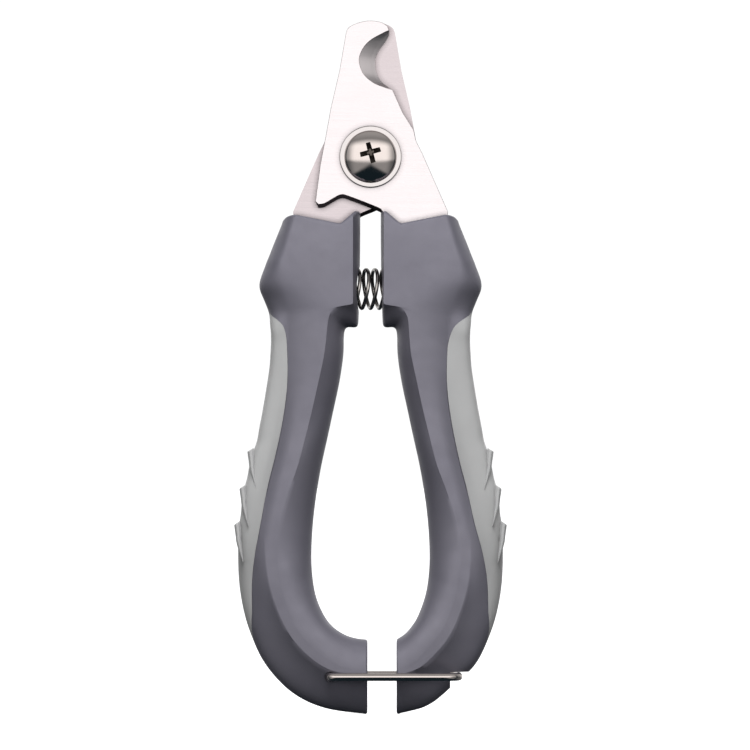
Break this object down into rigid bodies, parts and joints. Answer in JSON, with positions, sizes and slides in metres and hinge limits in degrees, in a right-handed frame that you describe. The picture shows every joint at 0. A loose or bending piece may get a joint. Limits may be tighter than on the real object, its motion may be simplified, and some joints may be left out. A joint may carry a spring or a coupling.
{
  "type": "pet nail trimmer",
  "caption": "Pliers-style claw trimmer: crossed ground blades with notched tips on a domed screw, soft-gripped handles, return spring and wire locking bail.",
  "frame": {"origin": "on the blades' pivot axis, at the centre of the pivot nut's flat rear face", "axes": "+Y from the screw head to the nut along the pivot axis, +Z from the handles to the blade tips, +X towards the front blade's handle"},
  "size_m": [0.0546, 0.0157, 0.1384],
  "materials": {
    "blade_steel": "fine ground stainless steel",
    "bright_plating": "bright nickel plating",
    "handle_core": "satin moulded slate grey",
    "grip_rubber": "matt light grey soft overmoulding",
    "spring_wire": "drawn spring steel"
  },
  "bodies": {
    "left_half": {"left_handle": "handle_core", "left_grip": "grip_rubber", "rear_blade": "blade_steel", "pivot_screw": "bright_plating", "head_washer": "bright_plating", "nut_washer": "bright_plating", "spring_washer": "bright_plating", "pivot_nut": "bright_plating", "return_spring": "spring_wire"},
    "right_half": {"right_handle": "handle_core", "right_grip": "grip_rubber", "front_blade": "blade_steel"},
    "bail": {"lock_bail": "bright_plating"}
  },
  "joints": [
    {"name": "handle_open", "type": "hinge", "parent": "left_half", "child": "right_half", "pos_m": [0, -0.00628, 0], "axis": [0, -1, 0], "range_deg": [0, 20], "deforming": ["return_spring"]},
    {"name": "bail_swing", "type": "hinge", "parent": "left_half", "child": "bail", "pos_m": [-0.0081, -0.00628, -0.1038], "axis": [0, 1, 0], "range_deg": [0, 220]}
  ],
  "couplings": [
    {"joint": "bail_swing", "follows": "handle_open", "ratio": 11}
  ]
}
